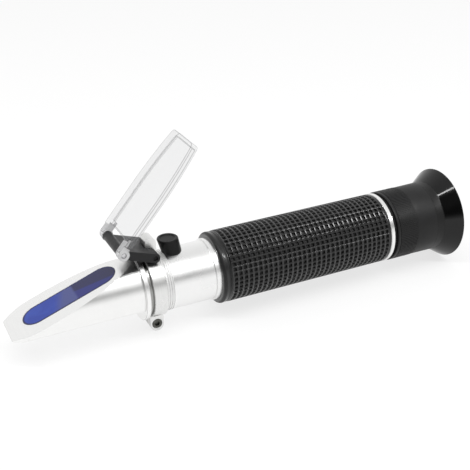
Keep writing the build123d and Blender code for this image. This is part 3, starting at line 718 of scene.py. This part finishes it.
def clear_plastic(name, tint, roughness, cover, edge_on):
    """Thin clear walls: cover is their body seen square, edge_on seen flat."""
    material, tree, face = new_finish(name)
    smear = place_effect(tree, handling_marks)["Smear"]
    facing = add_node(tree, "ShaderNodeLayerWeight", {"Blend": 0.5}).outputs["Facing"]
    looks = {
        "Base Color": blend(tree, smear, tint, lighter(tint, 1.04)),
        "Roughness": shift(tree, smear, roughness, roughness + 0.02),
        "IOR": 1.49,
        "Alpha": shift(tree, ease(tree, facing, 0.5, 1.0), cover, edge_on),
    }
    wire(tree, face, looks)
    return material


# The plate's roundings take a dark, nearly opaque finish: painted shade for the grey lines that
# its edges refract
plate_finishes = [
    clear_plastic("clear_moulding", (0.42, 0.425, 0.435), 0.02, 0.13, 0.45),
    clear_plastic("clear_edge_shade", (0.05, 0.05, 0.055), 0.35, 0.44, 0.7),
    clear_plastic("lug_painted_bright", (0.95, 0.95, 0.955), 0.12, 0.9, 0.95),
]
plate = finished_copy("daylight_plate", "clear_plate", PLATE_EDGE, edge_finish=1, jog=RIM_JOG)
# The lugs near the pin are painted near white and nearly opaque: painted light for the bright
# ground seen through them
for wall in plate.data.polygons:
    if wall.material_index == 0 and (wall.center - lid_pin).dot(plate_way) < LUG_REACH:
        wall.material_index = 2
dress(plate, plate_finishes, "plate", "daylight_plate")
finish_nodes(turned_steel, "lid_pin")

# Calibration bush and screw: turned from brass, hidden under the cap. The bush
# stands on the tube with its spigot through the wall, and holds the screw.
brass, tree, face = new_finish("turned_brass")
tone = place_effect(tree, turning_marks)["Tone"]
brass_yellow = blend(tree, tone, (0.62, 0.45, 0.18), (0.74, 0.57, 0.27))
wire(tree, face, {"Base Color": brass_yellow, "Metallic": 1.0, "Roughness": 0.3})
finish_nodes(brass, "calibration_bush", "calibration_screw")

# Calibration cap: a moulded plug of soft black rubber, pushed over the brass
# bush and saddled on the tube. Its head leans forward a little.
CAP_EDGE = 0.00025


def rubber(name, dark, light, roughness, grain, grain_depth, glint=0.28, wander=0.12):
    """Moulded rubber or plastic.

    Grain is the scale of its fine pattern, glint how much it mirrors, and
    wander how far its roughness varies.
    """
    material, tree, face = new_finish(name)
    marks = place_effect(tree, handling_marks, {"Speck scale": grain})
    looks = {
        "Base Color": blend(tree, marks["Smear"], dark, light),
        "Roughness": shift(tree, marks["Smear"], roughness, roughness + wander),
        "Specular IOR Level": glint,
        "Normal": roughen(tree, marks["Speck"], grain_depth),
    }
    wire(tree, face, looks)
    return material


cap_rubber = rubber(
    "cap_rubber",
    dark=(0.002, 0.002, 0.002),
    light=(0.004, 0.004, 0.0045),
    roughness=0.30,
    grain=3000.0,
    grain_depth=0.000006,
    glint=0.2,
)
cap = finished_copy("calibration_cap", "rubber_cap", CAP_EDGE, crease=30)
dress(cap, [cap_rubber], "cap", "calibration_cap")

# Rubber grip: a moulded sleeve pulled over the tube, with a waffle of square pits
# between rounded ridges, a plain collar in front, and the mould's parting line.
COLLAR = 0.0040
REAR_LIP = 0.0010
GRIP_BORE = 0.01237
NOSE_ROUND = 0.0012
REAR_ROUND = 0.0003
GROOVE = ((0.0004, 0.00045), (0.0008, 0.00045), (0.0011, 0.0001))
ROWS_AROUND = 45
ROWS_ALONG = 33
RIDGE_FALL = 0.000126
PIT_SHARE = 0.66
PIT_DEPTH = 0.0007
PIT_FLOOR_SHARE = 0.55
SEAM_ANGLE = math.radians(50)
SEAM_FOOT = (0.00016, -0.0003)
SEAM_TOP = (0.00007, 0.00006)
SEAM_OVERLAP = 0.0003
RIDGE_BORDER = (-0.3, 0.5)
DULL_BETWEEN = 0.26
RIDGE_POLISH = 0.35
grip_low, grip_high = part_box("rubber_grip")
grip_front, grip_back, grip_radius = grip_low.x, grip_high.x, grip_high.z
waffle_front = grip_front + COLLAR
waffle_back = grip_back - REAR_LIP


def dull_more(material, amount):
    """Adds an amount to the roughness that a finish has."""
    tree = material.node_tree
    face = tree.nodes["Principled BSDF"]
    usual = face.inputs["Roughness"].links[0].from_socket
    wire(tree, face, {"Roughness": math_node(tree, "ADD", usual, amount)})


# Polished by the hand on the ridges that run around it, and duller between them
grip_rubber = rubber(
    "grip_rubber",
    dark=(0.003, 0.003, 0.003),
    light=(0.007, 0.007, 0.007),
    roughness=0.17,
    grain=5200.0,
    grain_depth=0.0000015,
    glint=0.42,
)
tree = grip_rubber.node_tree
row_turns = 2 * math.pi * ROWS_ALONG / (waffle_back - waffle_front)
row_place = math_node(tree, "SUBTRACT", station_of(tree), waffle_front)
row_wave = math_node(tree, "COSINE", math_node(tree, "MULTIPLY", row_place, row_turns))
on_ridge = ease(tree, row_wave, *RIDGE_BORDER)
dull_more(grip_rubber, shift(tree, on_ridge, DULL_BETWEEN, 0.0))
polish = {"Coat Weight": shift(tree, on_ridge, 0.0, RIDGE_POLISH), "Coat Roughness": 0.14}
wire(tree, tree.nodes["Principled BSDF"], polish)

# The waffle: a sheet of squares is rolled around the axis, the middle of each
# square falls a little, and the middle of that falls again as the pit
waffle, given, end = new_group(
    "GeometryNodeTree",
    "waffle_sleeve",
    [
        ("Front", "NodeSocketFloat"),
        ("Length", "NodeSocketFloat"),
        ("Radius", "NodeSocketFloat"),
        ("Rows along", "NodeSocketInt"),
        ("Rows around", "NodeSocketInt"),
        ("Ridge fall", "NodeSocketFloat"),
        ("Pit share", "NodeSocketFloat"),
        ("Pit depth", "NodeSocketFloat"),
        ("Floor share", "NodeSocketFloat"),
        ("Finish", "NodeSocketMaterial"),
    ],
    "NodeSocketGeometry",
    "Sleeve",
)
sheet = add_node(
    waffle,
    "GeometryNodeMeshGrid",
    {
        "Size X": given["Length"],
        "Size Y": 2 * math.pi,
        "Vertices X": math_node(waffle, "ADD", given["Rows along"], 1),
        "Vertices Y": math_node(waffle, "ADD", given["Rows around"], 1),
    },
)
spot = waffle.nodes.new("GeometryNodeInputPosition").outputs[0]
parts = add_node(waffle, "ShaderNodeSeparateXYZ", {0: spot}).outputs
middle = math_node(waffle, "MULTIPLY_ADD", given["Length"], 0.5, given["Front"])
rolled = waffle.nodes.new("ShaderNodeCombineXYZ")
wire(waffle, rolled, {"X": math_node(waffle, "ADD", parts["X"], middle)})
for axis, operation in (("Y", "SINE"), ("Z", "COSINE")):
    turn = math_node(waffle, operation, parts["Y"])
    wire(waffle, rolled, {axis: math_node(waffle, "MULTIPLY", turn, given["Radius"])})
wrapped = add_node(
    waffle,
    "GeometryNodeSetPosition",
    {"Geometry": sheet.outputs["Mesh"], "Position": rolled.outputs[0]},
)
sewn = add_node(
    waffle,
    "GeometryNodeMergeByDistance",
    {"Geometry": wrapped.outputs[0], "Distance": 0.00001},
)
surface = sewn.outputs[0]
chosen = {}
for depth, share in (("Ridge fall", "Pit share"), ("Pit depth", "Floor share")):
    pushed = add_node(
        waffle,
        "GeometryNodeExtrudeMesh",
        {"Mesh": surface, "Offset Scale": given[depth], "Individual": True, **chosen},
    ).outputs
    chosen = {"Selection": pushed["Top"]}
    shrunk = add_node(
        waffle,
        "GeometryNodeScaleElements",
        {"Geometry": pushed["Mesh"], "Scale": given[share], **chosen},
    )
    surface = shrunk.outputs[0]


def close_tree(tree, shape, given, end):
    """Ends a tree: its copies made real, and the finish put on them."""
    real = add_node(tree, "GeometryNodeRealizeInstances", {0: shape})
    tinted = add_node(
        tree,
        "GeometryNodeSetMaterial",
        {"Geometry": real.outputs[0], "Material": given["Finish"]},
    )
    wire(tree, end, {0: tinted.outputs[0]})


close_tree(waffle, surface, given, end)


def grown(tree, values):
    """A plain mesh made by a Geometry Nodes tree from the values of its inputs."""
    holder = new_object(tree.name, bpy.data.meshes.new(tree.name))
    maker = holder.modifiers.new("maker", "NODES")
    maker.node_group = tree
    for item in tree.interface.items_tree:
        if item.in_out == "INPUT":
            maker[item.identifier] = values[item.name]
    bpy.context.view_layer.update()
    seen = holder.evaluated_get(bpy.context.evaluated_depsgraph_get())
    mesh = bpy.data.meshes.new_from_object(seen)
    bpy.data.objects.remove(holder)
    return mesh


def turned_wall(shape, outline, steps, closed=True):
    """Adds a turned wall to a shape: the outline holds (station, radius) pairs."""
    rings = []
    for station, radius in outline:
        ring = []
        for step in range(steps):
            angle = 2 * math.pi * step / steps - math.pi
            place = (station, radius * math.sin(angle), radius * math.cos(angle))
            ring.append(shape.verts.new(place))
        rings.append(ring)
    pairs = list(zip(rings, rings[1:]))
    if closed:
        pairs.append((rings[-1], rings[0]))
    for first, second in pairs:
        for step in range(steps):
            after = (step + 1) % steps
            shape.faces.new((first[step], first[after], second[after], second[step]))


def arc(station, height, radius, start, end, steps):
    """Points of an arc around a station and height, its angles in degrees."""
    points = []
    for step in range(steps + 1):
        angle = math.radians(start + (end - start) * step / steps)
        points.append((station + radius * math.cos(angle), height + radius * math.sin(angle)))
    return points


def settle(shape, name, crease):
    """Makes the shape a piece: doubles merged, faces outwards, creases sharp."""
    bmesh.ops.remove_doubles(shape, verts=shape.verts, dist=0.000004)
    bmesh.ops.recalc_face_normals(shape, faces=shape.faces)
    mesh = bpy.data.meshes.new(name)
    shape.to_mesh(mesh)
    shape.free()
    mesh.polygons.foreach_set("use_smooth", [True] * len(mesh.polygons))
    mesh.set_sharp_from_angle(angle=math.radians(crease))
    return new_object(name, mesh)


waffle_sizes = {
    "Front": waffle_front,
    "Length": waffle_back - waffle_front,
    "Radius": grip_radius,
    "Rows along": ROWS_ALONG,
    "Rows around": ROWS_AROUND,
    "Ridge fall": -RIDGE_FALL,
    "Pit share": PIT_SHARE,
    "Pit depth": -PIT_DEPTH,
    "Floor share": PIT_FLOOR_SHARE,
    "Finish": grip_rubber,
}
waffle_mesh = grown(waffle, waffle_sizes)
sleeve = bmesh.new()
sleeve.from_mesh(waffle_mesh)
bpy.data.meshes.remove(waffle_mesh)
sleeve_line = [
    (waffle_front, grip_radius),
    *[(waffle_front - ahead, grip_radius - depth) for ahead, depth in GROOVE],
    *arc(grip_front + NOSE_ROUND, grip_radius - NOSE_ROUND, NOSE_ROUND, 90, 180, 6),
    (grip_front, GRIP_BORE),
    (grip_back, GRIP_BORE),
    *arc(grip_back - REAR_ROUND, grip_radius - REAR_ROUND, REAR_ROUND, 0, 90, 3),
    (waffle_back, grip_radius),
]
turned_wall(sleeve, sleeve_line, ROWS_AROUND, closed=False)

# The parting line: a low bar along the waffle, narrower at its top
seam_up = Vector((0, -math.sin(SEAM_ANGLE), math.cos(SEAM_ANGLE)))
seam_across = Vector((0, seam_up.z, -seam_up.y))
seam_profile = ((-1, SEAM_FOOT), (-1, SEAM_TOP), (1, SEAM_TOP), (1, SEAM_FOOT))
seam_corners = []
for station in (waffle_front - SEAM_OVERLAP, waffle_back + SEAM_OVERLAP):
    for side, (half_width, rise) in seam_profile:
        place = seam_up * (grip_radius + rise) + seam_across * side * half_width
        seam_corners.append(sleeve.verts.new((station, place.y, place.z)))
front_end, rear_end = seam_corners[:4], seam_corners[4:]
for step in range(4):
    after = (step + 1) % 4
    sleeve.faces.new((front_end[step], front_end[after], rear_end[after], rear_end[step]))
sleeve.faces.new(front_end)
sleeve.faces.new(rear_end)
grip = settle(sleeve, "waffle_grip", 24)
dress(grip, [grip_rubber], "barrel", "rubber_grip")

# Trim ring: turned from aluminium and polished bright. It closes the grip at
# the eyepiece end.
TRIM_EDGE = 0.0001
trim_metal = aluminium(
    "polished_trim",
    light=(0.92, 0.92, 0.91),
    dark=(0.88, 0.88, 0.87),
    roughness=0.16,
    rings=6000.0,
)
trim = finished_copy("trim_ring", "bright_trim", TRIM_EDGE, crease=30, edge_finish=1)
dress(trim, [trim_metal, shaded_rounding], "barrel", "trim_ring")

# Eyepiece sleeve, its drag ring and the cells inside the barrel: matt black
# plastic, rubber and anodised metal, screwed or slid together and only just seen.
matt_black = rubber(
    "matte_sleeve",
    dark=(0.010, 0.010, 0.010),
    light=(0.016, 0.016, 0.016),
    roughness=0.5,
    grain=3000.0,
    grain_depth=0.000005,
)
finish_nodes(matt_black, "eyepiece_sleeve", "focus_o_ring")
finish_nodes(matt_black, "lens_cell", "lens_spacer", "lens_retainer")
finish_nodes(matt_black, "objective_cell", "objective_ring")
finish_nodes(matt_black, "baffle_ring", "reticle_cell", "reticle_ring")

# Lenses and reticle: crown glass, ground, polished and thinly coated. Screwed
# rings hold them in their cells.
lens_glass, tree, face = new_finish("coated_glass")
smear = place_effect(tree, handling_marks)["Smear"]
looks = {
    "Base Color": (0.93, 0.97, 0.96, 1),
    "Roughness": shift(tree, smear, 0.01, 0.03),
    "IOR": 1.52,
    "Transmission Weight": 1.0,
}
wire(tree, face, looks)
finish_nodes(lens_glass, "objective_lens", "reticle_glass", "field_lens", "eye_lens")

# Focus ring: moulded black plastic with a hem in front, a band of fine ribs to
# turn it by, and a spigot for the eyecup. It turns on the eyepiece sleeve and
# takes the lens cell along by an inner lip.
HEM_LENGTH = 0.0014
HEM_ROUND = 0.0003
NECK_CHAMFER = (0.0002, 0.0001)
SLEEVE_CLEARANCE = 0.00006
BORE_END = -0.0172
INNER_RADIUS = 0.0120
LIP_FRONT, LIP_BACK = -0.0152, -0.0132
LIP_BORE = 0.01005
SPIGOT_STEP = 0.00168
RIB_FRONT, RIB_BACK = -0.0294, -0.0206
RIB_COUNT = 120
RIB_WIDTH = 0.00045
RIB_HEIGHT = 0.00036
RIB_BED_DEPTH = 0.00018
focus_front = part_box("focus_ring")[0].x
focus_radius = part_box("focus_ring")[1].y
spigot_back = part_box("focus_ring")[1].x
focus_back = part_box("eyecup")[0].x
focus_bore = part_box("eyepiece_sleeve")[1].y + SLEEVE_CLEARANCE
spigot_radius = focus_radius - SPIGOT_STEP
rib_bed = focus_radius - RIB_BED_DEPTH
hem_height = focus_radius - HEM_ROUND
focus_plastic = rubber(
    "focus_plastic",
    dark=(0.004, 0.004, 0.004),
    light=(0.008, 0.008, 0.0085),
    roughness=0.42,
    grain=4200.0,
    grain_depth=0.000003,
    glint=0.36,
)
focus_line = [
    (focus_front, focus_bore),
    *arc(focus_front + HEM_ROUND, hem_height, HEM_ROUND, 180, 90, 3),
    *arc(focus_front + HEM_LENGTH - HEM_ROUND, hem_height, HEM_ROUND, 90, 0, 3),
    (RIB_FRONT, rib_bed),
    (RIB_BACK, rib_bed),
    (RIB_BACK + NECK_CHAMFER[0], focus_radius - NECK_CHAMFER[1]),
    (focus_back, focus_radius),
    (focus_back, spigot_radius),
    (spigot_back, spigot_radius),
    (spigot_back, INNER_RADIUS),
    (LIP_BACK, INNER_RADIUS),
    (LIP_BACK, LIP_BORE),
    (LIP_FRONT, LIP_BORE),
    (LIP_FRONT, INNER_RADIUS),
    (BORE_END, INNER_RADIUS),
    (BORE_END, focus_bore),
]
focus_shape = bmesh.new()
turned_wall(focus_shape, focus_line, 96)

# The ribs: bars on the points of an upright circle, each turned away from the axis
ribs, given, end = new_group(
    "GeometryNodeTree",
    "rib_band",
    [
        ("Start", "NodeSocketFloat"),
        ("Length", "NodeSocketFloat"),
        ("Radius", "NodeSocketFloat"),
        ("Count", "NodeSocketInt"),
        ("Rib width", "NodeSocketFloat"),
        ("Rib height", "NodeSocketFloat"),
        ("Finish", "NodeSocketMaterial"),
    ],
    "NodeSocketGeometry",
    "Ribs",
)
circle = add_node(
    ribs, "GeometryNodeMeshCircle", {"Vertices": given["Count"], "Radius": given["Radius"]}
)
middle = math_node(ribs, "MULTIPLY_ADD", given["Length"], 0.5, given["Start"])
centre = add_node(ribs, "ShaderNodeCombineXYZ", {"X": middle})
upright = add_node(
    ribs,
    "GeometryNodeTransform",
    {
        "Geometry": circle.outputs[0],
        "Translation": centre.outputs[0],
        "Rotation": (0, math.pi / 2, 0),
    },
)
bar_size = add_node(
    ribs,
    "ShaderNodeCombineXYZ",
    {"X": given["Length"], "Y": given["Rib width"], "Z": given["Rib height"]},
)
bar = add_node(ribs, "GeometryNodeMeshCube", {"Size": bar_size.outputs[0]})
outward = ribs.nodes.new("ShaderNodeVectorMath")
outward.operation = "MULTIPLY"
spot = ribs.nodes.new("GeometryNodeInputPosition").outputs[0]
wire(ribs, outward, {0: spot, 1: (0, 1, 1)})
turn = ribs.nodes.new("FunctionNodeAlignRotationToVector")
turn.axis = "Z"
turn.pivot_axis = "X"
wire(ribs, turn, {"Vector": outward.outputs[0]})
seated = add_node(
    ribs,
    "GeometryNodeInstanceOnPoints",
    {
        "Points": upright.outputs[0],
        "Instance": bar.outputs["Mesh"],
        "Rotation": turn.outputs[0],
    },
)
close_tree(ribs, seated.outputs[0], given, end)
rib_sizes = {
    "Start": RIB_FRONT,
    "Length": RIB_BACK - RIB_FRONT,
    "Radius": rib_bed,
    "Count": RIB_COUNT,
    "Rib width": RIB_WIDTH,
    "Rib height": RIB_HEIGHT,
    "Finish": focus_plastic,
}
rib_mesh = grown(ribs, rib_sizes)
focus_shape.from_mesh(rib_mesh)
bpy.data.meshes.remove(rib_mesh)
focus = settle(focus_shape, "focus_ribbed", 32)
dress(focus, [focus_plastic], "focus", "focus_ring")

# Eyecup: a soft, glossy black moulding, flared to shade the eye and pushed over
# the focus ring's spigot.
CUP_CHAMFER = 0.0001
THROAT = -0.0070
COLLAR_SWELL = ((0.0006, 0.00002), (0.0002, 0.00015))
FLARE_SLOPE = 0.665
FLARE_STATIONS = (-0.0069, -0.0068, -0.0066, -0.0052, -0.0038, -0.0022, -0.0008, -0.0006)
RIM_ROUND = 0.0006
CUP_HOLLOW = ((0.0, 0.0185), (-0.0002, 0.0182), (-0.0032, 0.0159), (-0.0052, 0.0136))
CUP_CLEARANCE = 0.00001
COLLAR_DULL = 0.34
cup_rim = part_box("eyecup")[1].z - CUP_CLEARANCE
cup_gloss = rubber(
    "gloss_cup",
    dark=(0.002, 0.002, 0.002),
    light=(0.004, 0.004, 0.004),
    roughness=0.08,
    grain=2200.0,
    grain_depth=0.0000003,
    glint=0.34,
    wander=0.03,
)
tree = cup_gloss.node_tree
on_collar = ease(tree, station_of(tree), THROAT + 0.0001, THROAT - 0.0003)
dull_more(cup_gloss, shift(tree, on_collar, 0.0, COLLAR_DULL))
flare_end = cup_rim - 0.00002
cup_line = [
    (focus_back, spigot_radius),
    (focus_back, focus_radius - CUP_CHAMFER),
    (focus_back + CUP_CHAMFER, focus_radius),
    *[(THROAT - ahead, focus_radius + rise) for ahead, rise in COLLAR_SWELL],
    *[(place, flare_end + FLARE_SLOPE * (place + RIM_ROUND)) for place in FLARE_STATIONS],
    *arc(-RIM_ROUND, cup_rim - RIM_ROUND, RIM_ROUND, 78, 0, 5),
    *CUP_HOLLOW,
    (spigot_back, INNER_RADIUS),
    (spigot_back, spigot_radius),
]
cup_shape = bmesh.new()
turned_wall(cup_shape, cup_line, 128)
cup = settle(cup_shape, "flared_cup", 30)
dress(cup, [cup_gloss], "focus", "eyecup")
